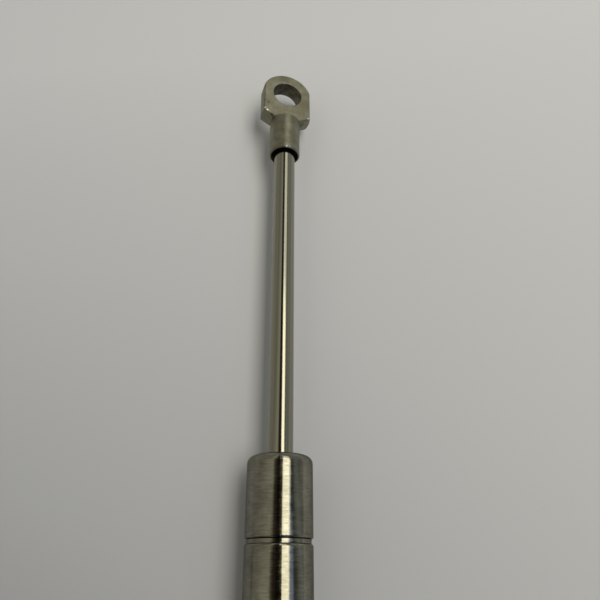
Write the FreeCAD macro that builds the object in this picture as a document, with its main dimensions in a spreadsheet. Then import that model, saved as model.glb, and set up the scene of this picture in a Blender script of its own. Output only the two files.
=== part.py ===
"""Gas spring with an eye at each end, 6 mm rod in a 15 mm tube, 80 mm stroke.

Millimetres. The spring lies along Y with its rod out, as it is held when nothing presses on it.
The origin is the centre of the tube eye's pin bore, +Z is that bore's axis, and the rod points to +Y.
Every place along Y is worked out from the sizes in the sheet, so that pieces seat on each other.
"""

import FreeCAD, Part

import math
import os
import sys

import Sketcher

DRIVING_SIZES = [
    # Pressure tube, rolled over at both ends and rolled into two locking grooves
    ("tube_diameter", 15.0),
    ("tube_wall", 1.0),
    ("shoulder_radius", 1.8),
    ("lip_width", 2.1),
    ("front_groove_place", 18.0),
    ("rear_groove_place", 4.1),
    ("groove_floor", 0.9),
    ("groove_depth", 0.4),
    ("groove_flank", 0.55),
    # Piston rod: its stroke sets the tube's length, and the spare stays out when it is pushed in
    ("rod_diameter", 6.0),
    ("rod_stroke", 80.0),
    ("rod_spare", 6.4),
    ("thread_diameter", 5.9),
    ("thread_room", 1.2),
    ("thread_chamfer", 0.6),
    ("spigot_diameter", 3.5),
    ("peen_diameter", 5.0),
    ("peen_height", 1.0),
    # Eyes, turned from bar and milled flat
    ("eye_reach", 22.0),
    ("bar_diameter", 15.0),
    ("crown_radius", 7.5),
    ("eye_thickness", 5.0),
    ("pin_bore", 8.5),
    ("pin_bore_chamfer", 0.2),
    ("shoulder_reach", 9.6),
    ("shoulder_angle", 30.0),
    ("mill_radius", 0.6),
    ("collar_diameter", 8.8),
    ("collar_chamfer", 0.3),
    ("collar_recess", 8.0),
    ("recess_depth", 1.2),
    ("tap_wall", 0.9),
    ("drill_tip_angle", 31.0),
    ("edge_break", 0.3),
    ("rod_eye_angle", 18.0),
    # Guide and seal pack at the rod end
    ("wiper_section", 0.9),
    ("wiper_depth", 2.0),
    ("nose_recess", 0.2),
    ("washer_thickness", 1.0),
    ("seal_length", 4.5),
    ("seal_lip_depth", 2.4),
    ("seal_lip_edge", 0.6),
    ("support_thickness", 1.1),
    ("support_bore", 7.0),
    ("sleeve_length", 6.0),
    ("sleeve_wall", 1.6),
    # Piston on the rod's spigot
    ("stop_gap", 0.3),
    ("end_gap", 1.5),
    ("piston_length", 4.2),
    ("piston_washer", 6.6),
    ("piston_washer_thickness", 0.8),
    ("valve_disc_thickness", 0.3),
    ("ring_section", 1.8),
    ("metering_bore", 0.8),
    ("metering_wall", 0.2),
    # Plug at the closed end
    ("plug_boss", 1.5),
    ("plug_length", 8.0),
    ("plug_ring_section", 1.5),
    ("plug_ring_place", 7.1),
    # Clearances, each measured on the radius or on one side
    ("press_clearance", 0.02),
    ("slide_clearance", 0.03),
    ("ring_clearance", 0.05),
    ("piston_clearance", 0.15),
    ("groove_clearance", 0.15),
    ("ring_room", 0.1),
]

METERING_BORE_COUNT = 3
FULL_TURN = 360.0
CUT_ROOM = 1.0


def size(name):
    """A size of the sheet, as it is written inside an expression."""
    return f"Sizes.{name}"


def half(name):
    """Half of a size of the sheet."""
    return f"(Sizes.{name} / 2)"


# Radii that several pieces share
TUBE_OUTER = half("tube_diameter")
TUBE_BORE = f"({TUBE_OUTER} - {size('tube_wall')})"
LIP_RADIUS = f"({TUBE_OUTER} - {size('lip_width')})"
INNER_CURL = f"({size('shoulder_radius')} - {size('tube_wall')})"
ROD_RADIUS = half("rod_diameter")
PACK_RADIUS = f"({TUBE_BORE} - {size('press_clearance')})"
ROD_BORE = f"({ROD_RADIUS} + {size('slide_clearance')})"
NOSE_RADIUS = f"({LIP_RADIUS} - {size('ring_room')})"
BEAD_RADIUS = f"({TUBE_BORE} - {size('groove_depth')})"
WIPER_RADIUS = f"({ROD_RADIUS} + {size('wiper_section')})"
SEAT_RADIUS = f"({BEAD_RADIUS} - {size('groove_clearance')})"
SPIGOT_BORE = f"({half('spigot_diameter')} + {size('slide_clearance')})"
RING_RADIUS = f"({TUBE_BORE} - {size('ring_clearance')} - {half('ring_section')})"
RING_FLOOR = f"({RING_RADIUS} - {half('ring_section')} - {size('ring_room')})"
METERING_RADIUS = f"({RING_FLOOR} - {size('metering_wall')} - {half('metering_bore')})"

# In an eye, from its pin bore: the tip of the tapping drill stays a wall away from the flats,
# and a thread stops short of the tap's floor
TAP_RADIUS = f"({half('thread_diameter')} + {size('ring_clearance')})"
TAP_TIP = f"({size('shoulder_reach')} + {size('tap_wall')})"
TAP_FLOOR = f"({TAP_TIP} + {TAP_RADIUS} * tan({size('drill_tip_angle')}))"
THREAD_END = f"({TAP_FLOOR} + {size('thread_room')})"

# Places along Y, from the tube eye to the rod eye
TUBE_START = f"({size('eye_reach')} + {size('plug_boss')})"
REAR_GROOVE = f"({TUBE_START} + {size('rear_groove_place')})"
PLUG_FACE = f"({TUBE_START} + {size('tube_wall')})"
PLUG_END = f"({PLUG_FACE} + {size('plug_length')})"
PLUG_RING_MIDDLE = f"({TUBE_START} + {size('plug_ring_place')})"
PEEN_END = f"({PLUG_END} + {size('end_gap')} + {size('rod_stroke')})"
PEEN_FACE = f"({PEEN_END} + {size('peen_height')})"
DISC_END = f"({PEEN_FACE} + {size('piston_washer_thickness')})"
PISTON_END = f"({DISC_END} + {size('valve_disc_thickness')})"
PISTON_MIDDLE = f"({PISTON_END} + {half('piston_length')})"
PISTON_FACE = f"({PISTON_END} + {size('piston_length')})"
ROD_SHOULDER = f"({PISTON_FACE} + {size('piston_washer_thickness')})"
SLEEVE_END = f"({PISTON_FACE} + {size('stop_gap')})"
FRONT_GROOVE = f"({SLEEVE_END} + {half('sleeve_length')})"
SLEEVE_TOP = f"({SLEEVE_END} + {size('sleeve_length')})"
SUPPORT_TOP = f"({SLEEVE_TOP} + {size('support_thickness')})"
SEAL_TOP = f"({SUPPORT_TOP} + {size('seal_length')})"
WASHER_TOP = f"({SEAL_TOP} + {size('washer_thickness')})"
TUBE_END = f"({FRONT_GROOVE} + {size('front_groove_place')})"
GUIDE_FACE = f"({TUBE_END} - {size('tube_wall')})"
NOSE_FACE = f"({TUBE_END} - {size('nose_recess')})"
ROD_EYE_FACE = f"({TUBE_END} + {size('rod_stroke')} + {size('rod_spare')})"
ROD_EYE_CENTRE = f"({ROD_EYE_FACE} + {size('eye_reach')})"


def corner(across, along):
    """A corner of an outline, at two expressions."""
    return {"at": (str(across), str(along)), "centre": None}


def arc_to(across, along, centre, clockwise=False):
    """A corner that the outline reaches along an arc round the centre."""
    return {"at": (str(across), str(along)), "centre": centre, "clockwise": clockwise}


def make_sheet(doc):
    """The sheet of driving dimensions, one named cell a row."""
    sheet = doc.addObject("Spreadsheet::Sheet", "Sizes")
    for row, (name, value) in enumerate(DRIVING_SIZES, start=1):
        sheet.set(f"A{row}", name)
        sheet.set(f"B{row}", str(value))
        sheet.setAlias(f"B{row}", name)
    doc.recompute()
    return sheet


def value_of(sheet, expression):
    """The number that an expression stands for now."""
    return float(sheet.evalExpression(expression))


def origin_part(body, role):
    """One of the body's own origin planes or axes."""
    return next(f for f in body.Origin.OriginFeatures if f.Role == role)


def pin_point(sketch, sheet, geometry, end, expressions, axes):
    """Holds one point of the sketch at its expressions, on the named axes."""
    for axis in axes:
        expression = expressions["XY".index(axis)]
        number = value_of(sheet, expression)
        if expression == "0":
            line = -2 if axis == "X" else -1
            sketch.addConstraint(Sketcher.Constraint("PointOnObject", geometry, end, line))
            continue
        index = sketch.addConstraint(
            Sketcher.Constraint(f"Distance{axis}", -1, 1, geometry, end, number)
        )
        name = f"Place{axis}{geometry}_{end}"
        sketch.renameConstraint(index, name)
        sketch.setExpression(f"Constraints.{name}", expression)


def draw_outline(sketch, sheet, corners):
    """Draws a closed outline of lines and arcs, and holds each corner at its expressions."""
    numbers = [tuple(value_of(sheet, e) for e in c["at"]) for c in corners]
    first_ends, last_ends = [], []
    for step, here in enumerate(corners):
        start, stop = numbers[step - 1], numbers[step]
        if here["centre"] is None:
            edge = Part.LineSegment(
                FreeCAD.Vector(*start, 0), FreeCAD.Vector(*stop, 0)
            )
            geometry = sketch.addGeometry(edge, False)
            first_ends.append((geometry, 1))
            last_ends.append((geometry, 2))
            continue
        middle = tuple(value_of(sheet, e) for e in here["centre"])
        radius = math.hypot(stop[0] - middle[0], stop[1] - middle[1])
        circle = Part.Circle(FreeCAD.Vector(*middle, 0), FreeCAD.Vector(0, 0, 1), radius)
        turns = [math.atan2(p[1] - middle[1], p[0] - middle[0]) for p in (start, stop)]
        if here["clockwise"]:
            turns.reverse()
        if turns[1] <= turns[0]:
            turns[1] += 2 * math.pi
        geometry = sketch.addGeometry(Part.ArcOfCircle(circle, *turns), False)
        first_ends.append((geometry, 2 if here["clockwise"] else 1))
        last_ends.append((geometry, 1 if here["clockwise"] else 2))
    for step in range(len(corners)):
        following = first_ends[(step + 1) % len(corners)]
        sketch.addConstraint(Sketcher.Constraint("Coincident", *last_ends[step], *following))
    for step, here in enumerate(corners):
        pin_point(sketch, sheet, *last_ends[step], here["at"], "XY")
        if here["centre"] is not None:
            start, stop = numbers[step - 1], numbers[step]
            steep = abs(stop[1] - start[1]) >= abs(stop[0] - start[0])
            geometry = last_ends[step][0]
            pin_point(sketch, sheet, geometry, 3, here["centre"], "X" if steep else "Y")


def add_sketch(body, sheet, name, role, outlines):
    """A sketch on one of the body's origin planes, with closed outlines."""
    sketch = body.newObject("Sketcher::SketchObject", name)
    sketch.AttachmentSupport = [(origin_part(body, role), "")]
    sketch.MapMode = "FlatFace"
    for outline in outlines:
        draw_outline(sketch, sheet, outline)
    return sketch


def new_body(doc, label):
    """An empty body whose label names its file."""
    body = doc.addObject("PartDesign::Body", label)
    body.Label = label
    return body


def turn_solid(doc, sheet, label, outline):
    """A piece turned about Y: the outline gives radius across and place along."""
    body = new_body(doc, label)
    sketch = add_sketch(body, sheet, f"{label}_profile", "XY_Plane", [outline])
    turned = body.newObject("PartDesign::Revolution", f"{label}_turned")
    turned.Profile = sketch
    turned.ReferenceAxis = (sketch, ["V_Axis"])
    turned.Angle = FULL_TURN
    doc.recompute()
    return body


def washer(doc, sheet, label, bore, outer, low, high):
    """A flat ring between two places along Y."""
    outline = [corner(bore, low), corner(outer, low), corner(outer, high), corner(bore, high)]
    return turn_solid(doc, sheet, label, outline)


def cut_through(body, label, sketch):
    """A pocket through the whole body, to both sides of the sketch."""
    pocket = body.newObject("PartDesign::Pocket", f"{label}_cut")
    pocket.Profile = sketch
    pocket.Type = 1
    pocket.Midplane = True
    return pocket


def ring_outline(radius, place, section):
    """A round section for an O-ring, as two half circles."""
    half_section = f"({section} / 2)"
    return [
        arc_to(f"{radius} + {half_section}", place, (radius, place)),
        arc_to(f"{radius} - {half_section}", place, (radius, place)),
    ]


def make_tube(doc, sheet):
    """The pressure tube: both ends rolled inwards, and a rolled groove near each end."""
    floor = half("groove_floor")
    flank = size("groove_flank")
    shoulder = size("shoulder_radius")
    drop = size("groove_depth")
    flank_radius = f"(({flank} * {flank} + {drop} * {drop}) / (2 * {drop}))"
    inner_end = f"{TUBE_START} + {size('tube_wall')}"
    inner_top = f"{TUBE_END} - {size('tube_wall')}"

    def outer_groove(place):
        low = f"{TUBE_OUTER} - {drop}"
        middle = f"{TUBE_OUTER} - {flank_radius}"
        below = f"{place} - {floor} - {flank}"
        above = f"{place} + {floor} + {flank}"
        return [
            corner(TUBE_OUTER, below),
            arc_to(low, f"{place} - {floor}", (middle, below)),
            corner(low, f"{place} + {floor}"),
            arc_to(TUBE_OUTER, above, (middle, above)),
        ]

    def inner_groove(place):
        return [
            corner(TUBE_BORE, f"{place} + {floor} + {flank}"),
            corner(BEAD_RADIUS, f"{place} + {floor}"),
            corner(BEAD_RADIUS, f"{place} - {floor}"),
            corner(TUBE_BORE, f"{place} - {floor} - {flank}"),
        ]

    bend = f"{TUBE_OUTER} - {shoulder}"
    start_bend = f"{TUBE_START} + {shoulder}"
    end_bend = f"{TUBE_END} - {shoulder}"
    outline = [
        corner(LIP_RADIUS, TUBE_START),
        corner(bend, TUBE_START),
        arc_to(TUBE_OUTER, start_bend, (bend, start_bend)),
        *outer_groove(REAR_GROOVE),
        *outer_groove(FRONT_GROOVE),
        corner(TUBE_OUTER, end_bend),
        arc_to(bend, TUBE_END, (bend, end_bend)),
        corner(LIP_RADIUS, TUBE_END),
        corner(LIP_RADIUS, inner_top),
        corner(bend, inner_top),
        arc_to(TUBE_BORE, end_bend, (bend, end_bend), clockwise=True),
        *inner_groove(FRONT_GROOVE),
        *inner_groove(REAR_GROOVE),
        corner(TUBE_BORE, start_bend),
        arc_to(bend, inner_end, (bend, start_bend), clockwise=True),
        corner(LIP_RADIUS, inner_end),
    ]
    return turn_solid(doc, sheet, "pressure_tube", outline)


def make_plug(doc, sheet):
    """The plug that closes the tube, turned in one piece with its boss and threaded stud."""
    stud = half("thread_diameter")
    chamfer = size("thread_chamfer")
    ring_floor = f"({PACK_RADIUS} - {size('plug_ring_section')})"
    ring_half = f"({half('plug_ring_section')} + {size('ring_room')})"
    seat_low = f"{REAR_GROOVE} - {half('groove_floor')} - {size('ring_room')}"
    seat_high = f"{REAR_GROOVE} + {half('groove_floor')} + {size('ring_room')}"
    outline = [
        corner("0", THREAD_END),
        corner(f"{stud} - {chamfer}", THREAD_END),
        corner(stud, f"{THREAD_END} + {chamfer}"),
        corner(stud, size("eye_reach")),
        corner(NOSE_RADIUS, size("eye_reach")),
        corner(NOSE_RADIUS, PLUG_FACE),
        corner(f"{PACK_RADIUS} - {INNER_CURL}", PLUG_FACE),
        corner(PACK_RADIUS, f"{PLUG_FACE} + {INNER_CURL}"),
        corner(PACK_RADIUS, f"{seat_low} - {size('groove_flank')}"),
        corner(SEAT_RADIUS, seat_low),
        corner(SEAT_RADIUS, seat_high),
        corner(PACK_RADIUS, f"{seat_high} + {size('groove_flank')}"),
        corner(PACK_RADIUS, f"{PLUG_RING_MIDDLE} - {ring_half}"),
        corner(ring_floor, f"{PLUG_RING_MIDDLE} - {ring_half}"),
        corner(ring_floor, f"{PLUG_RING_MIDDLE} + {ring_half}"),
        corner(PACK_RADIUS, f"{PLUG_RING_MIDDLE} + {ring_half}"),
        corner(PACK_RADIUS, PLUG_END),
        corner("0", PLUG_END),
    ]
    return turn_solid(doc, sheet, "end_plug", outline)


def make_plug_ring(doc, sheet):
    """The O-ring in the plug's groove."""
    radius = f"({PACK_RADIUS} - {half('plug_ring_section')})"
    outline = ring_outline(radius, PLUG_RING_MIDDLE, size("plug_ring_section"))
    return turn_solid(doc, sheet, "plug_o_ring", outline)


def make_guide(doc, sheet):
    """The rod guide under the tube's rolled lip, with a nose that fills the lip's opening."""
    seat_floor = f"{NOSE_FACE} - {size('wiper_depth')}"
    outline = [
        corner(ROD_BORE, WASHER_TOP),
        corner(PACK_RADIUS, WASHER_TOP),
        corner(PACK_RADIUS, f"{GUIDE_FACE} - {INNER_CURL}"),
        corner(f"{PACK_RADIUS} - {INNER_CURL}", GUIDE_FACE),
        corner(NOSE_RADIUS, GUIDE_FACE),
        corner(NOSE_RADIUS, NOSE_FACE),
        corner(WIPER_RADIUS, NOSE_FACE),
        corner(WIPER_RADIUS, seat_floor),
        corner(ROD_BORE, seat_floor),
    ]
    return turn_solid(doc, sheet, "rod_guide", outline)


def make_wiper(doc, sheet):
    """The wiper in the guide's nose, with a lip that leans onto the rod."""
    outer = f"{WIPER_RADIUS} - {size('press_clearance')}"
    floor = f"({NOSE_FACE} - {size('wiper_depth')})"
    heel = f"(({WIPER_RADIUS} + {ROD_RADIUS}) / 2)"
    outline = [
        corner(f"{ROD_BORE} + {size('ring_room')}", floor),
        corner(outer, floor),
        corner(outer, f"{NOSE_FACE} - {size('ring_room')}"),
        corner(heel, f"{NOSE_FACE} - {half('wiper_depth')}"),
        corner(ROD_BORE, NOSE_FACE),
        corner(ROD_BORE, f"{NOSE_FACE} - {size('ring_room')}"),
    ]
    return turn_solid(doc, sheet, "wiper_ring", outline)


def make_seal(doc, sheet):
    """The rod seal, a lip seal that opens towards the gas."""
    lip_floor = f"{SUPPORT_TOP} + {size('seal_lip_depth')}"
    groove = f"(({PACK_RADIUS} + {ROD_RADIUS}) / 2)"
    lip_edge = size("seal_lip_edge")
    outline = [
        corner(ROD_BORE, SUPPORT_TOP),
        corner(f"{ROD_BORE} + {lip_edge}", SUPPORT_TOP),
        corner(groove, lip_floor),
        corner(f"{PACK_RADIUS} - {lip_edge}", SUPPORT_TOP),
        corner(PACK_RADIUS, SUPPORT_TOP),
        corner(PACK_RADIUS, SEAL_TOP),
        corner(ROD_BORE, SEAL_TOP),
    ]
    return turn_solid(doc, sheet, "rod_seal", outline)


def make_sleeve(doc, sheet):
    """The sleeve that the front groove locks in place: it stops the piston."""
    seat_low = f"{FRONT_GROOVE} - {half('groove_floor')} - {size('ring_room')}"
    seat_high = f"{FRONT_GROOVE} + {half('groove_floor')} + {size('ring_room')}"
    bore = f"({PACK_RADIUS} - {size('sleeve_wall')})"
    outline = [
        corner(bore, SLEEVE_END),
        corner(PACK_RADIUS, SLEEVE_END),
        corner(PACK_RADIUS, f"{seat_low} - {size('groove_flank')}"),
        corner(SEAT_RADIUS, seat_low),
        corner(SEAT_RADIUS, seat_high),
        corner(PACK_RADIUS, f"{seat_high} + {size('groove_flank')}"),
        corner(PACK_RADIUS, SLEEVE_TOP),
        corner(bore, SLEEVE_TOP),
    ]
    return turn_solid(doc, sheet, "stop_sleeve", outline)


def make_rod(doc, sheet):
    """The piston rod: thread at the eye, spigot for the piston, and its peened-over end."""
    spigot = half("spigot_diameter")
    thread = half("thread_diameter")
    chamfer = size("thread_chamfer")
    thread_end = f"{ROD_EYE_CENTRE} - {THREAD_END}"
    peen = half("peen_diameter")
    outline = [
        corner("0", PEEN_END),
        corner(spigot, PEEN_END),
        corner(peen, f"{PEEN_FACE} - {half('peen_height')}"),
        corner(peen, PEEN_FACE),
        corner(spigot, PEEN_FACE),
        corner(spigot, ROD_SHOULDER),
        corner(ROD_RADIUS, ROD_SHOULDER),
        corner(ROD_RADIUS, ROD_EYE_FACE),
        corner(thread, f"{ROD_EYE_FACE} + {half('recess_depth')}"),
        corner(thread, f"{thread_end} - {chamfer}"),
        corner(f"{thread} - {chamfer}", thread_end),
        corner("0", thread_end),
    ]
    return turn_solid(doc, sheet, "piston_rod", outline)


def make_piston(doc, sheet):
    """The piston, with a groove for its ring and metering bores that let the gas past."""
    outer = f"({TUBE_BORE} - {size('piston_clearance')})"
    room = f"({half('ring_section')} + {size('ring_room')})"
    outline = [
        corner(SPIGOT_BORE, PISTON_END),
        corner(outer, PISTON_END),
        corner(outer, f"{PISTON_MIDDLE} - {room}"),
        corner(RING_FLOOR, f"{PISTON_MIDDLE} - {room}"),
        corner(RING_FLOOR, f"{PISTON_MIDDLE} + {room}"),
        corner(outer, f"{PISTON_MIDDLE} + {room}"),
        corner(outer, PISTON_FACE),
        corner(SPIGOT_BORE, PISTON_FACE),
    ]
    body = turn_solid(doc, sheet, "piston_body", outline)
    sketch = body.newObject("Sketcher::SketchObject", "metering_circle")
    sketch.AttachmentSupport = [(origin_part(body, "XZ_Plane"), "")]
    sketch.MapMode = "FlatFace"
    radius = value_of(sheet, half("metering_bore"))
    place = value_of(sheet, METERING_RADIUS)
    circle = Part.Circle(FreeCAD.Vector(0, place, 0), FreeCAD.Vector(0, 0, 1), radius)
    sketch.addGeometry(circle, False)
    sketch.addConstraint(Sketcher.Constraint("PointOnObject", 0, 3, -2))
    for kind, where, expression in (
        ("DistanceY", (-1, 1, 0, 3, place), METERING_RADIUS),
        ("Diameter", (0, 2 * radius), size("metering_bore")),
    ):
        index = sketch.addConstraint(Sketcher.Constraint(kind, *where))
        sketch.renameConstraint(index, f"Bore{kind}")
        sketch.setExpression(f"Constraints.Bore{kind}", expression)
    bore = cut_through(body, "metering", sketch)
    pattern = body.newObject("PartDesign::PolarPattern", "metering_pattern")
    pattern.Originals = [bore]
    pattern.Axis = (origin_part(body, "Y_Axis"), [""])
    pattern.Angle = FULL_TURN
    pattern.Occurrences = METERING_BORE_COUNT
    body.Tip = pattern
    doc.recompute()
    return body


def make_piston_ring(doc, sheet):
    """The ring that runs on the tube's bore and in which the piston can turn."""
    outline = ring_outline(RING_RADIUS, PISTON_MIDDLE, size("ring_section"))
    return turn_solid(doc, sheet, "piston_ring", outline)


def flat_edges(shape, depth):
    """Names of the sharp edges round the two milled flats, without their straight ends."""
    found = []
    for number, edge in enumerate(shape.Edges, start=1):
        if edge.Degenerated:
            continue
        points = edge.discretize(5)
        on_flat = all(abs(abs(p.z) - depth) < 1e-4 for p in points)
        across = all(abs(p.y - points[0].y) < 1e-4 for p in points)
        if on_flat and not across:
            found.append(f"Edge{number}")
    return found


def make_eye(doc, sheet, label):
    """An eye with its pin bore at the origin and its tapped collar towards +Y."""
    bar = half("bar_diameter")
    collar = half("collar_diameter")
    chamfer = size("collar_chamfer")
    recess = half("collar_recess")
    reach = size("eye_reach")
    recess_floor = f"{reach} - {size('recess_depth')}"
    shoulder_rise = f"({bar} - {collar}) * tan({size('shoulder_angle')})"
    top = f"(-({size('crown_radius')}))"
    blank = [
        corner("0", top),
        corner(bar, top),
        corner(bar, f"{size('shoulder_reach')} - {shoulder_rise}"),
        corner(collar, size("shoulder_reach")),
        corner(collar, f"{reach} - {chamfer}"),
        corner(f"{collar} - {chamfer}", reach),
        corner(recess, reach),
        corner(recess, recess_floor),
        corner(TAP_RADIUS, recess_floor),
        corner(TAP_RADIUS, TAP_FLOOR),
        corner("0", TAP_TIP),
    ]
    body = turn_solid(doc, sheet, label, blank)

    flat = half("eye_thickness")
    clear = f"({bar} + {CUT_ROOM})"
    beyond = f"({top} - {CUT_ROOM})"
    wall = size("shoulder_reach")
    mill = size("mill_radius")

    def milled(sign):
        level, outside = f"{sign}({flat})", f"{sign}{clear}"
        bend = f"{sign}({flat} + {mill})"
        return [
            corner(beyond, outside),
            corner(beyond, level),
            corner(f"{wall} - {mill}", level),
            arc_to(wall, bend, (f"{wall} - {mill}", bend), clockwise=sign == "-"),
            corner(wall, outside),
        ]

    flats = add_sketch(body, sheet, f"{label}_flats", "YZ_Plane", [milled(""), milled("-")])
    cut_through(body, f"{label}_flats", flats)

    crown = size("crown_radius")
    outside = [
        corner(f"-{clear}", "0"),
        corner(f"-{clear}", beyond),
        corner(clear, beyond),
        corner(clear, "0"),
        corner(crown, "0"),
        arc_to(f"-({crown})", "0", ("0", "0"), clockwise=True),
    ]
    crown_sketch = add_sketch(body, sheet, f"{label}_crown", "XY_Plane", [outside])
    cut_through(body, f"{label}_crown", crown_sketch)
    doc.recompute()

    before = body.Tip
    depth = value_of(sheet, flat)
    names = flat_edges(before.Shape, depth)
    broken = body.newObject("PartDesign::Fillet", f"{label}_edges")
    broken.Base = (before, names)
    broken.setExpression("Radius", size("edge_break"))

    bore = half("pin_bore")
    bevel = size("pin_bore_chamfer")
    mouth = f"{bore} + {bevel}"
    past = f"({flat} + {CUT_ROOM})"
    bore_outline = [
        corner("0", f"-{past}"),
        corner(mouth, f"-{past}"),
        corner(mouth, f"-{flat}"),
        corner(bore, f"{bevel} - {flat}"),
        corner(bore, f"{flat} - {bevel}"),
        corner(mouth, flat),
        corner(mouth, past),
        corner("0", past),
    ]
    bore_sketch = add_sketch(body, sheet, f"{label}_bore", "XZ_Plane", [bore_outline])
    bored = body.newObject("PartDesign::Groove", f"{label}_bored")
    bored.Profile = bore_sketch
    bored.ReferenceAxis = (bore_sketch, ["V_Axis"])
    bored.Angle = FULL_TURN
    doc.recompute()
    return body


def place_rod_eye(body):
    """Turns the rod eye to face the tube eye, and about the rod as it was left."""
    body.Placement = FreeCAD.Placement(
        FreeCAD.Vector(0, 0, 0), FreeCAD.Rotation(FreeCAD.Vector(1, 0, 0), 180)
    )
    body.setExpression("Placement.Base.y", ROD_EYE_CENTRE)
    axis = (
        f"rotation(vector(0; 1; 0); {size('rod_eye_angle')})"
        " * rotation(vector(1; 0; 0); 180)"
    )
    body.setExpression("Placement.Rotation", axis)


def make_parts(doc, sheet):
    """Every piece of the spring, in the order in which it is put together."""
    pieces = [
        make_tube(doc, sheet),
        make_plug(doc, sheet),
        make_plug_ring(doc, sheet),
        make_sleeve(doc, sheet),
        washer(
            doc,
            sheet,
            "support_washer",
            half("support_bore"),
            PACK_RADIUS,
            SLEEVE_TOP,
            SUPPORT_TOP,
        ),
        make_seal(doc, sheet),
        washer(doc, sheet, "guide_washer", ROD_BORE, PACK_RADIUS, SEAL_TOP, WASHER_TOP),
        make_guide(doc, sheet),
        make_wiper(doc, sheet),
        make_rod(doc, sheet),
        washer(
            doc,
            sheet,
            "piston_top_washer",
            SPIGOT_BORE,
            half("piston_washer"),
            PISTON_FACE,
            ROD_SHOULDER,
        ),
        make_piston(doc, sheet),
        make_piston_ring(doc, sheet),
        washer(
            doc,
            sheet,
            "valve_disc",
            SPIGOT_BORE,
            f"({METERING_RADIUS} + {size('metering_bore')})",
            DISC_END,
            PISTON_END,
        ),
        washer(
            doc,
            sheet,
            "piston_end_washer",
            SPIGOT_BORE,
            half("piston_washer"),
            PEEN_FACE,
            DISC_END,
        ),
        make_eye(doc, sheet, "tube_eye"),
    ]
    rod_eye = make_eye(doc, sheet, "rod_eye")
    place_rod_eye(rod_eye)
    pieces.append(rod_eye)
    return pieces


def write_parts(doc, pieces):
    """Checks every object and every piece, then writes one file for each piece."""
    doc.recompute()
    failed = [o.Name for o in doc.Objects if {"Invalid", "Error"} & set(o.State)]
    bad = [p.Label for p in pieces if p.Shape.isNull() or not p.Shape.isValid()]
    if failed or bad:
        sys.exit(f"failed objects {failed}, bad shapes {bad}")
    os.makedirs("parts", exist_ok=True)
    for piece in pieces:
        shape = piece.Shape
        shape.exportStep(f"parts/{piece.Label}.step")
        box = shape.BoundBox
        print(
            f"{piece.Label}: {len(shape.Solids)} solid, {shape.Volume:.1f} mm3, "
            f"y {box.YMin:.2f} to {box.YMax:.2f}, x {box.XLength:.2f}, z {box.ZLength:.2f}"
        )


document = FreeCAD.newDocument("GasSpring")
sizes = make_sheet(document)
write_parts(document, make_parts(document, sizes))
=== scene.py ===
"""Looks of the gas spring: its steels, plastics and rubbers, the table, the light and the camera."""

import math

import bpy
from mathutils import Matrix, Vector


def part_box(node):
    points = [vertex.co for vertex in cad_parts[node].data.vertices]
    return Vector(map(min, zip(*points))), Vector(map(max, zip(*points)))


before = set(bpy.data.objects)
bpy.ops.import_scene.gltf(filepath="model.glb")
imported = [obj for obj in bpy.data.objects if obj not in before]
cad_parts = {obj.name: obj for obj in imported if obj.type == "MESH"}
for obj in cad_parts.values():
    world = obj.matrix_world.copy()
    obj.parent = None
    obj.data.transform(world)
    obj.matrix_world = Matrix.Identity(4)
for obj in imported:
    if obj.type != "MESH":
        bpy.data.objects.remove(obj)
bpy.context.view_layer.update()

MILLIMETRE = 0.001

# Camera: fitted to the photograph, looking down on the spring from above its tube
CAMERA_PLACE = (4.55 * MILLIMETRE, 117.2 * MILLIMETRE, 134.5 * MILLIMETRE)
CAMERA_TILT = math.radians(25.5)
FOCAL_LENGTH_PIXELS = 576.0
PICTURE_PIXELS = 600.0
SENSOR_WIDTH = 36.0
NEAREST_SEEN = 0.005

# Sizes of the spring that its finishes follow, in millimetres
TUBE_RADIUS = 7.5
ROD_RADIUS = 3.0
RECESS_RADIUS = 3.93
RECESS_DEPTH = 1.3
COLLAR_MOUTHS = (22.0, 228.0)
BORE_RADIUS = 4.27
BORE_CENTRES = [(0.0, 0.0, 0.0), (0.0, 250.0, 0.0)]
BORE_LEANS = [math.radians(0.0), math.radians(18.0)]

# Creases of the tube's grooves, darkened nearly to black with painted shade: place along Y and half
# width, in millimetres
GROOVE_CREASES = [(124.1, 0.08), (123.1, 0.04), (28.1, 0.08), (27.1, 0.04)]

# Painted light and shade on the rod eye, and one real pit: place and radius in millimetres, and
# colour
# painted shade: darker patches on the top and the right side of the eye's flat
PAINTED_SHADE_PATCHES = [((-0.4, 256.4, 2.6), 1.8, "#737061"), ((5.9, 247.3, 0.7), 2.2, "#76735F")]
# painted highlights: glints on the burrs at the corners of the flat
PAINTED_BURR_GLINTS = [
    ((-5.9, 242.8, 4.5), 0.22, "#FFFDF2"),
    ((-5.1, 242.1, 4.28), 0.28, "#F4EED8"),
    ((7.1, 242.2, 0.35), 0.28, "#D0CEC4"),
]
# painted highlights on the rims of the bore and of the collar
RIM_GLINTS = [
    ((-0.3, 254.15, 2.6), 0.4, "#979CA8"),
    ((0.7, 228.3, 4.33), 0.28, "#C8CEDA"),
    ((1.6, 228.2, 3.95), 0.35, "#9297A0"),
]
# one real pit, then painted shade on the cones beside the collar
PIT_AND_PAINTED_SHADE = [
    ((-4.86, 245.1, 4.21), 0.45, "#636053"),
    ((-3.8, 240.85, 3.5), 0.5, "#5A574A"),
    ((-3.3, 240.3, 2.6), 0.5, "#55524A"),
    ((4.8, 240.7, -1.0), 1.0, "#68665E"),
]
EYE_PAINTED_LIGHT_AND_PIT = PAINTED_SHADE_PATCHES + PAINTED_BURR_GLINTS + RIM_GLINTS + PIT_AND_PAINTED_SHADE

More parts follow.
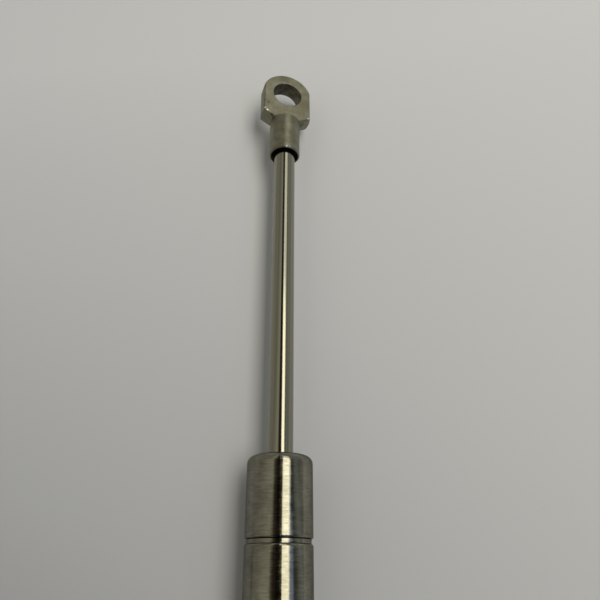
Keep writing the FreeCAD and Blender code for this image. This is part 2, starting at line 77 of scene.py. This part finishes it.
# Table, in metres: its colours from the near left to the far right, over this stretch of the way;
# the darker near left is painted shade
TABLE_SIZE = 6.0
TABLE_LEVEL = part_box("pressure_tube")[0].z
SHADE_START = 0.04
SHADE_END = 0.28
TABLE_COLOURS_AND_PAINTED_SHADE = [(0.0, "#AFB0B6"), (0.25, "#C9CBD2"), (0.58, "#DDDFE6"), (1.0, "#EEF0F7")]
SIDEWAYS_REACH = 0.12
SIDEWAYS_PULL = 4.5

# Lamp, in metres and in degrees from straight up: two lengths of it, the far one dimmer
LAMP_HEIGHT = 1.0
LAMP_FROM_ANGLE = math.radians(12.0)
LAMP_TO_ANGLE = math.radians(36.0)
LAMP_START = -0.3
LAMP_TURN = 0.72
LAMP_END = 1.6
LAMP_RADIANCE = 3.25
FAR_LAMP_RADIANCE = 1.35
LAMP_COLOUR = "#FFF7DE"

# Room: its colours round the spring, by the angle from straight up, in degrees to the right
ROOM_COLOURS = [
    (-130.0, "#A4A295"),
    (-100.0, "#92908A"),
    (-77.0, "#A09E92"),
    (-60.0, "#AEAC9E"),
    (-45.0, "#BCBAAC"),
    (-29.0, "#C0BEAF"),
    (-24.0, "#7E7A6E"),
    (-19.0, "#4A433A"),
    (-12.0, "#3D352B"),
    (-6.0, "#211A13"),
    (3.0, "#1B1611"),
    (10.0, "#3A352D"),
    (44.0, "#B4C4E8"),
    (49.5, "#A8B6D8"),
    (52.5, "#4A4E4E"),
    (62.0, "#5C605C"),
    (82.0, "#A3A9A7"),
    (92.0, "#8F938F"),
    (103.0, "#888985"),
    (116.0, "#A4A5A0"),
]
ROOM_TAPER = 2.5
BACKDROP_COLOUR = "#BAB9B6"


def linear(colour):
    """sRGB hex text as a linear RGBA tuple."""
    channels = [int(colour[i : i + 2], 16) / 255 for i in (1, 3, 5)]
    turned = [c / 12.92 if c <= 0.04045 else ((c + 0.055) / 1.055) ** 2.4 for c in channels]
    return (*turned, 1.0)


def add(tree, kind, settings=None, **inputs):
    """Adds a node: its settings by name, and its inputs as values or as sockets to link."""
    node = tree.nodes.new(kind)
    for name, value in (settings or {}).items():
        setattr(node, name, value)
    for name, value in inputs.items():
        key = int(name[3:]) if name.startswith("at_") else name.replace("_", " ")
        if isinstance(value, bpy.types.NodeSocket):
            tree.links.new(value, node.inputs[key])
        else:
            node.inputs[key].default_value = value
    return node


def ramp(tree, place, stops):
    """A colour ramp over a 0 to 1 place, from pairs of place and sRGB hex colour."""
    node = add(tree, "ShaderNodeValToRGB", Fac=place)
    elements = node.color_ramp.elements
    while len(elements) < len(stops):
        elements.new(0.5)
    for element, (position, colour) in zip(elements, stops):
        element.position = position
        element.color = linear(colour)
    return node.outputs["Color"]


def per_metre(millimetres):
    """The noise scale whose features are about this many millimetres across."""
    return 1.0 / (millimetres * MILLIMETRE)


def in_metres(place):
    """A place given in millimetres, in metres."""
    return [c * MILLIMETRE for c in place]


def new_material(name):
    """A material with a Principled shader and an output; gives its tree and the shader too."""
    material = bpy.data.materials.new(name)
    material.use_nodes = True
    tree = material.node_tree
    tree.nodes.clear()
    shader = add(tree, "ShaderNodeBsdfPrincipled")
    output = add(tree, "ShaderNodeOutputMaterial")
    tree.links.new(shader.outputs["BSDF"], output.inputs["Surface"])
    return material, tree, shader


def round_the_axis(tree, radius, along, around):
    """Coordinates on a piece turned about Y, for features this long along it and round it.

    All three sizes are in millimetres. The turn about Y is drawn as a point on a circle, so
    that the pattern has no seam.
    """
    place = add(tree, "ShaderNodeTexCoord").outputs["Object"]
    split = add(tree, "ShaderNodeSeparateXYZ", Vector=place)
    x, y, z = (split.outputs[axis] for axis in "XYZ")
    turn = add(tree, "ShaderNodeMath", {"operation": "ARCTAN2"}, at_0=x, at_1=z)
    on_circle = []
    for operation in ("SINE", "COSINE"):
        unit = add(tree, "ShaderNodeMath", {"operation": operation}, at_0=turn.outputs[0])
        scaled = add(
            tree,
            "ShaderNodeMath",
            {"operation": "MULTIPLY"},
            at_0=unit.outputs[0],
            at_1=radius / around,
        )
        on_circle.append(scaled.outputs[0])
    way = add(tree, "ShaderNodeMath", {"operation": "MULTIPLY"}, at_0=y, at_1=per_metre(along))
    joined = add(
        tree,
        "ShaderNodeCombineXYZ",
        X=on_circle[0],
        Y=way.outputs[0],
        Z=on_circle[1],
    )
    return joined.outputs["Vector"]


def near_crease(tree, along, place, half_width):
    """1 within half_width of a place along Y, fading to 0 at twice that; both in millimetres."""
    away = add(
        tree,
        "ShaderNodeMath",
        {"operation": "SUBTRACT"},
        at_0=along,
        at_1=place * MILLIMETRE,
    )
    distance = add(tree, "ShaderNodeMath", {"operation": "ABSOLUTE"}, at_0=away.outputs[0])
    faded = add(
        tree,
        "ShaderNodeMapRange",
        Value=distance.outputs[0],
        From_Min=half_width * MILLIMETRE,
        From_Max=2 * half_width * MILLIMETRE,
        To_Min=1.0,
        To_Max=0.0,
    )
    return faded.outputs["Result"]


def near_axis(tree, place, centre, axis, radius):
    """1 inside a round bore, from a point on its axis and its radius in millimetres; 0 outside."""
    arm = add(
        tree,
        "ShaderNodeVectorMath",
        {"operation": "SUBTRACT"},
        at_0=place,
        at_1=in_metres(centre),
    )
    across = add(
        tree,
        "ShaderNodeVectorMath",
        {"operation": "CROSS_PRODUCT"},
        at_0=arm.outputs["Vector"],
        at_1=axis,
    )
    distance = add(
        tree,
        "ShaderNodeVectorMath",
        {"operation": "LENGTH"},
        at_0=across.outputs["Vector"],
    )
    fade = 0.05
    inside = add(
        tree,
        "ShaderNodeMapRange",
        Value=distance.outputs["Value"],
        From_Min=radius * MILLIMETRE,
        From_Max=(radius + fade) * MILLIMETRE,
        To_Min=1.0,
        To_Max=0.0,
    )
    return inside.outputs["Result"]


def near_point(tree, place, centre, radius):
    """1 near a point, fading to 0 from half its radius to one and a half; in millimetres."""
    away = add(
        tree,
        "ShaderNodeVectorMath",
        {"operation": "DISTANCE"},
        at_0=place,
        at_1=in_metres(centre),
    )
    faded = add(
        tree,
        "ShaderNodeMapRange",
        Value=away.outputs["Value"],
        From_Min=0.5 * radius * MILLIMETRE,
        From_Max=1.5 * radius * MILLIMETRE,
        To_Min=1.0,
        To_Max=0.0,
    )
    return faded.outputs["Result"]


def tinted(tree, colour, share, other):
    """A colour, with this share of another one, given as sRGB hex text, over it."""
    mix = add(
        tree,
        "ShaderNodeMix",
        {"data_type": "RGBA", "blend_type": "MIX"},
        at_0=share,
        at_6=colour,
        at_7=linear(other),
    )
    return mix.outputs[2]


def drawn_polished_steel():
    """Stainless tube, drawn and polished: deep reflections, streaks along it, fine hoops round it.

    The hoops that polishing leaves are finer than a pixel, so they are drawn 0.35 mm wide to
    show. They and the blotches of handling make the skin darker and duller in places, and painted
    shade darkens the creases of the grooves nearly to black.
    """
    material, tree, shader = new_material("drawn_polished_stainless_steel")
    streaks = add(
        tree,
        "ShaderNodeTexNoise",
        Vector=round_the_axis(tree, TUBE_RADIUS, along=60.0, around=0.5),
        Scale=1.0,
        Detail=4.0,
        Roughness=0.6,
    )
    hoops = add(
        tree,
        "ShaderNodeTexNoise",
        Vector=round_the_axis(tree, TUBE_RADIUS, along=0.35, around=2.5),
        Scale=1.0,
        Detail=3.0,
        Roughness=0.6,
    )
    place = add(tree, "ShaderNodeTexCoord").outputs["Object"]
    blotches = add(
        tree,
        "ShaderNodeTexNoise",
        Vector=place,
        Scale=per_metre(4.0),
        Detail=5.0,
        Roughness=0.65,
    )
    worn = add(
        tree,
        "ShaderNodeMath",
        {"operation": "MULTIPLY"},
        at_0=hoops.outputs["Fac"],
        at_1=blotches.outputs["Fac"],
    ).outputs[0]
    colour = ramp(tree, worn, [(0.14, "#77756A"), (0.25, "#878578"), (0.36, "#959386")])
    along = add(tree, "ShaderNodeSeparateXYZ", Vector=place).outputs["Y"]
    # painted shade: each crease of the grooves is darkened nearly to black
    for crease, half_width in GROOVE_CREASES:
        painted_shade = near_crease(tree, along, crease, half_width)
        colour = tinted(tree, colour, painted_shade, "#1C1A17")
    tree.links.new(colour, shader.inputs["Base Color"])
    rough = add(
        tree,
        "ShaderNodeMapRange",
        Value=worn,
        From_Min=0.16,
        From_Max=0.36,
        To_Min=0.05,
        To_Max=0.17,
    )
    tree.links.new(rough.outputs["Result"], shader.inputs["Roughness"])
    shader.inputs["Metallic"].default_value = 1.0
    # the worn skin brightens less at a flat angle than clean steel does
    shader.inputs["Specular Tint"].default_value = linear("#BEBEBE")
    line_bump = add(
        tree,
        "ShaderNodeBump",
        Strength=0.4,
        Distance=0.03 * MILLIMETRE,
        Height=streaks.outputs["Fac"],
    )
    hoop_bump = add(
        tree,
        "ShaderNodeBump",
        Strength=0.6,
        Distance=0.02 * MILLIMETRE,
        Height=hoops.outputs["Fac"],
        Normal=line_bump.outputs["Normal"],
    )
    tree.links.new(hoop_bump.outputs["Normal"], shader.inputs["Normal"])
    return material


def ground_polished_steel():
    """Stainless rod, ground and polished: nearly a mirror, with faint streaks along it."""
    material, tree, shader = new_material("ground_polished_stainless_steel")
    streaks = add(
        tree,
        "ShaderNodeTexNoise",
        Vector=round_the_axis(tree, ROD_RADIUS, along=40.0, around=0.3),
        Scale=1.0,
        Detail=4.0,
        Roughness=0.6,
    )
    colour = ramp(tree, streaks.outputs["Fac"], [(0.3, "#8D8B7D"), (0.7, "#979586")])
    tree.links.new(colour, shader.inputs["Base Color"])
    shader.inputs["Metallic"].default_value = 1.0
    shader.inputs["Roughness"].default_value = 0.13
    return material


def machined_steel():
    """Stainless bar, turned and milled, then tumbled: satin, mottled, with rounded edges and painted
    glints and shade in spots.

    Tumbling leaves a fine pitted grain and soft brownish patches, and rounds the edges so that they
    catch the light. Painted shade darkens the recess at the mouth of the collar nearly to black, and
    the bores are darker and browner, in patches.
    """
    material, tree, shader = new_material("machined_stainless_steel")
    place = add(tree, "ShaderNodeTexCoord").outputs["Object"]
    grain = add(
        tree,
        "ShaderNodeTexNoise",
        Vector=place,
        Scale=per_metre(0.45),
        Detail=5.0,
        Roughness=0.65,
    )
    patches = add(
        tree,
        "ShaderNodeTexNoise",
        Vector=place,
        Scale=per_metre(2.2),
        Detail=4.0,
        Roughness=0.6,
    )
    colour = ramp(
        tree,
        patches.outputs["Fac"],
        [(0.3, "#767362"), (0.5, "#848271"), (0.7, "#928F7F")],
    )

    along = add(tree, "ShaderNodeSeparateXYZ", Vector=place).outputs["Y"]
    inside_collar = near_axis(tree, place, (0.0, 0.0, 0.0), (0.0, 1.0, 0.0), RECESS_RADIUS)
    # painted shade: the recess at the mouth of each collar is darkened nearly to black
    for mouth in COLLAR_MOUTHS:
        painted_shade = add(
            tree,
            "ShaderNodeMath",
            {"operation": "MULTIPLY"},
            at_0=near_crease(tree, along, mouth, RECESS_DEPTH),
            at_1=inside_collar,
        )
        colour = tinted(tree, colour, painted_shade.outputs[0], "#1C1A18")

    # the bores are darker and browner, in patches
    darker_in_patches = add(
        tree,
        "ShaderNodeMapRange",
        Value=patches.outputs["Fac"],
        From_Min=0.35,
        From_Max=0.6,
        To_Min=0.9,
        To_Max=0.4,
    )
    for centre, lean in zip(BORE_CENTRES, BORE_LEANS):
        axis = (math.sin(lean), 0.0, math.cos(lean))
        darker_in_bore = add(
            tree,
            "ShaderNodeMath",
            {"operation": "MULTIPLY"},
            at_0=near_axis(tree, place, centre, axis, BORE_RADIUS),
            at_1=darker_in_patches.outputs["Result"],
        )
        colour = tinted(tree, colour, darker_in_bore.outputs[0], "#4A4435")

    # painted shade, painted glints and one pit on the rod eye
    for centre, radius, mark_colour in EYE_PAINTED_LIGHT_AND_PIT:
        colour = tinted(tree, colour, near_point(tree, place, centre, radius), mark_colour)
    tree.links.new(colour, shader.inputs["Base Color"])

    rough = add(
        tree,
        "ShaderNodeMapRange",
        Value=grain.outputs["Fac"],
        From_Min=0.3,
        From_Max=0.7,
        To_Min=0.4,
        To_Max=0.52,
    )
    tree.links.new(rough.outputs["Result"], shader.inputs["Roughness"])
    shader.inputs["Metallic"].default_value = 1.0
    # the rubbed edges are a quarter of a millimetre round
    rounded = add(tree, "ShaderNodeBevel", {"samples": 6}, Radius=0.25 * MILLIMETRE)
    bump = add(
        tree,
        "ShaderNodeBump",
        Strength=0.4,
        Distance=0.04 * MILLIMETRE,
        Height=grain.outputs["Fac"],
        Normal=rounded.outputs["Normal"],
    )
    tree.links.new(bump.outputs["Normal"], shader.inputs["Normal"])
    return material


def turned_steel():
    """Inner steel pieces, turned or stamped and left oiled: fine rings, a dull gloss."""
    material, tree, shader = new_material("turned_oiled_steel")
    rings = add(
        tree,
        "ShaderNodeTexNoise",
        Vector=round_the_axis(tree, ROD_RADIUS, along=0.2, around=6.0),
        Scale=1.0,
        Detail=2.0,
    )
    colour = ramp(tree, rings.outputs["Fac"], [(0.3, "#9C9C98"), (0.7, "#AEADA8")])
    tree.links.new(colour, shader.inputs["Base Color"])
    shader.inputs["Metallic"].default_value = 1.0
    shader.inputs["Roughness"].default_value = 0.3
    bump = add(
        tree,
        "ShaderNodeBump",
        Strength=0.3,
        Distance=0.02 * MILLIMETRE,
        Height=rings.outputs["Fac"],
    )
    tree.links.new(bump.outputs["Normal"], shader.inputs["Normal"])
    return material


def moulded(name, dark, light, roughness, grain_size):
    """A moulded plastic or rubber: nearly even colour, a fine grain and a soft sheen."""
    material, tree, shader = new_material(name)
    grain = add(
        tree,
        "ShaderNodeTexNoise",
        Vector=add(tree, "ShaderNodeTexCoord").outputs["Object"],
        Scale=per_metre(grain_size),
        Detail=3.0,
    )
    colour = ramp(tree, grain.outputs["Fac"], [(0.3, dark), (0.7, light)])
    tree.links.new(colour, shader.inputs["Base Color"])
    shader.inputs["Roughness"].default_value = roughness
    bump = add(
        tree,
        "ShaderNodeBump",
        Strength=0.3,
        Distance=0.02 * MILLIMETRE,
        Height=grain.outputs["Fac"],
    )
    tree.links.new(bump.outputs["Normal"], shader.inputs["Normal"])
    return material


def table_laminate():
    """Pale matt laminate: an even grey with a bluish cast, and painted shade that darkens it towards
    the near left.

    The shade goes by the way along the table. At its near side a place further to the right
    counts as further along, and at its far side a little less so.
    """
    material, tree, shader = new_material("pale_matt_laminate")
    place = add(tree, "ShaderNodeTexCoord").outputs["Object"]
    split = add(tree, "ShaderNodeSeparateXYZ", Vector=place)
    nearness = add(
        tree,
        "ShaderNodeMapRange",
        Value=split.outputs["Y"],
        From_Min=0.1,
        From_Max=0.3,
        To_Min=0.15,
        To_Max=-0.05,
    )
    aside = add(
        tree,
        "ShaderNodeMapRange",
        Value=split.outputs["X"],
        From_Min=-SIDEWAYS_REACH,
        From_Max=SIDEWAYS_REACH,
        To_Min=-SIDEWAYS_REACH,
        To_Max=SIDEWAYS_REACH,
    )
    pull = add(
        tree,
        "ShaderNodeMath",
        {"operation": "MULTIPLY"},
        at_0=aside.outputs["Result"],
        at_1=nearness.outputs["Result"],
    )
    way = add(
        tree,
        "ShaderNodeMath",
        {"operation": "MULTIPLY_ADD"},
        at_0=pull.outputs[0],
        at_1=SIDEWAYS_PULL,
        at_2=split.outputs["Y"],
    )
    share = add(
        tree,
        "ShaderNodeMapRange",
        Value=way.outputs[0],
        From_Min=SHADE_START,
        From_Max=SHADE_END,
    )
    # painted shade: the table darkens towards the near left
    colour = ramp(tree, share.outputs["Result"], TABLE_COLOURS_AND_PAINTED_SHADE)
    tree.links.new(colour, shader.inputs["Base Color"])
    shader.inputs["Roughness"].default_value = 0.8
    shader.inputs["Specular IOR Level"].default_value = 0.2
    return material


def dress(node, material):
    """Gives a CAD node its material."""
    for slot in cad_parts[node].material_slots:
        slot.material = material


def make_table():
    """The table: one square face under the spring."""
    half = TABLE_SIZE / 2
    corners = [(-half, -half), (half, -half), (half, half), (-half, half)]
    mesh = bpy.data.meshes.new("table")
    mesh.from_pydata([(x, y, TABLE_LEVEL) for x, y in corners], [], [(0, 1, 2, 3)])
    mesh.materials.append(table_laminate())
    table = bpy.data.objects.new("table", mesh)
    bpy.context.scene.collection.objects.link(table)


def make_lamp(name, start, end, radiance):
    """A long soft lamp, high up on the right, that lies along the spring from start to end."""
    left = LAMP_HEIGHT * math.tan(LAMP_FROM_ANGLE)
    right = LAMP_HEIGHT * math.tan(LAMP_TO_ANGLE)
    light = bpy.data.lights.new(name, "AREA")
    light.shape = "RECTANGLE"
    light.size = right - left
    light.size_y = end - start
    light.color = linear(LAMP_COLOUR)[:3]
    light.energy = radiance * math.pi * light.size * light.size_y
    lamp = bpy.data.objects.new(name, light)
    lamp.location = ((left + right) / 2, (start + end) / 2, LAMP_HEIGHT)
    bpy.context.scene.collection.objects.link(lamp)


def make_world():
    """A dim room: grey walls and ceiling, and a dark band right above the spring."""
    world = bpy.data.worlds.new("dim_room")
    bpy.context.scene.world = world
    world.use_nodes = True
    tree = world.node_tree
    tree.nodes.clear()
    place = add(tree, "ShaderNodeTexCoord").outputs["Generated"]
    split = add(tree, "ShaderNodeSeparateXYZ", Vector=place)
    turn = add(
        tree,
        "ShaderNodeMath",
        {"operation": "ARCTAN2"},
        at_0=split.outputs["X"],
        at_1=split.outputs["Z"],
    )
    # the bands of the room get narrower towards the rod eye's side
    ahead = add(
        tree,
        "ShaderNodeMath",
        {"operation": "MAXIMUM"},
        at_0=split.outputs["Y"],
        at_1=0.0,
    )
    taper = add(
        tree,
        "ShaderNodeMath",
        {"operation": "MULTIPLY_ADD"},
        at_0=ahead.outputs[0],
        at_1=ROOM_TAPER,
        at_2=1.0,
    )
    spread = add(
        tree,
        "ShaderNodeMath",
        {"operation": "MULTIPLY"},
        at_0=turn.outputs[0],
        at_1=taper.outputs[0],
    )
    full_turn = add(
        tree,
        "ShaderNodeMapRange",
        Value=spread.outputs[0],
        From_Min=-math.pi,
        From_Max=math.pi,
    )
    stops = [(angle / 360.0 + 0.5, colour) for angle, colour in ROOM_COLOURS]
    room = ramp(tree, full_turn.outputs["Result"], stops)
    # the side behind the camera is dimmer: whoever holds it stands there
    strength = add(
        tree,
        "ShaderNodeMapRange",
        Value=split.outputs["Y"],
        From_Min=-0.6,
        From_Max=-0.2,
        To_Min=0.5,
        To_Max=1.0,
    )
    lights = add(
        tree,
        "ShaderNodeBackground",
        Color=room,
        Strength=strength.outputs["Result"],
    )
    seen = add(tree, "ShaderNodeBackground", Color=linear(BACKDROP_COLOUR), Strength=1.0)
    path = add(tree, "ShaderNodeLightPath")
    mix = add(
        tree,
        "ShaderNodeMixShader",
        at_0=path.outputs["Is Camera Ray"],
        at_1=lights.outputs["Background"],
        at_2=seen.outputs["Background"],
    )
    output = add(tree, "ShaderNodeOutputWorld")
    tree.links.new(mix.outputs["Shader"], output.inputs["Surface"])


def make_camera():
    """The camera of the photograph."""
    lens = bpy.data.cameras.new("camera")
    lens.sensor_fit = "HORIZONTAL"
    lens.sensor_width = SENSOR_WIDTH
    lens.lens = FOCAL_LENGTH_PIXELS / PICTURE_PIXELS * SENSOR_WIDTH
    lens.clip_start = NEAREST_SEEN
    camera = bpy.data.objects.new("camera", lens)
    camera.location = CAMERA_PLACE
    camera.rotation_euler = (CAMERA_TILT, 0.0, 0.0)
    bpy.context.scene.collection.objects.link(camera)
    bpy.context.scene.camera = camera


tube_steel = drawn_polished_steel()
rod_steel = ground_polished_steel()
eye_steel = machined_steel()
inner_steel = turned_steel()
black_plastic = moulded("black_acetal", "#141414", "#1D1D1E", roughness=0.45, grain_size=0.3)
pale_plastic = moulded("ivory_acetal", "#D4CFC0", "#DEDACD", roughness=0.4, grain_size=0.3)
black_rubber = moulded(
    "black_nitrile_rubber", "#101010", "#191919", roughness=0.65, grain_size=0.15
)

FINISHES = {
    "pressure_tube": tube_steel,
    "piston_rod": rod_steel,
    "rod_eye": eye_steel,
    "tube_eye": eye_steel,
    "end_plug": eye_steel,
    "stop_sleeve": inner_steel,
    "support_washer": inner_steel,
    "guide_washer": inner_steel,
    "piston_top_washer": inner_steel,
    "piston_end_washer": inner_steel,
    "valve_disc": inner_steel,
    "rod_guide": black_plastic,
    "piston_body": pale_plastic,
    "rod_seal": black_rubber,
    "wiper_ring": black_rubber,
    "piston_ring": black_rubber,
    "plug_o_ring": black_rubber,
}
for node_name, finish in FINISHES.items():
    dress(node_name, finish)

make_table()
make_lamp("near_lamp", LAMP_START, LAMP_TURN, LAMP_RADIANCE)
make_lamp("far_lamp", LAMP_TURN, LAMP_END, FAR_LAMP_RADIANCE)
make_world()
make_camera()
bpy.context.scene.view_settings.view_transform = "Standard"
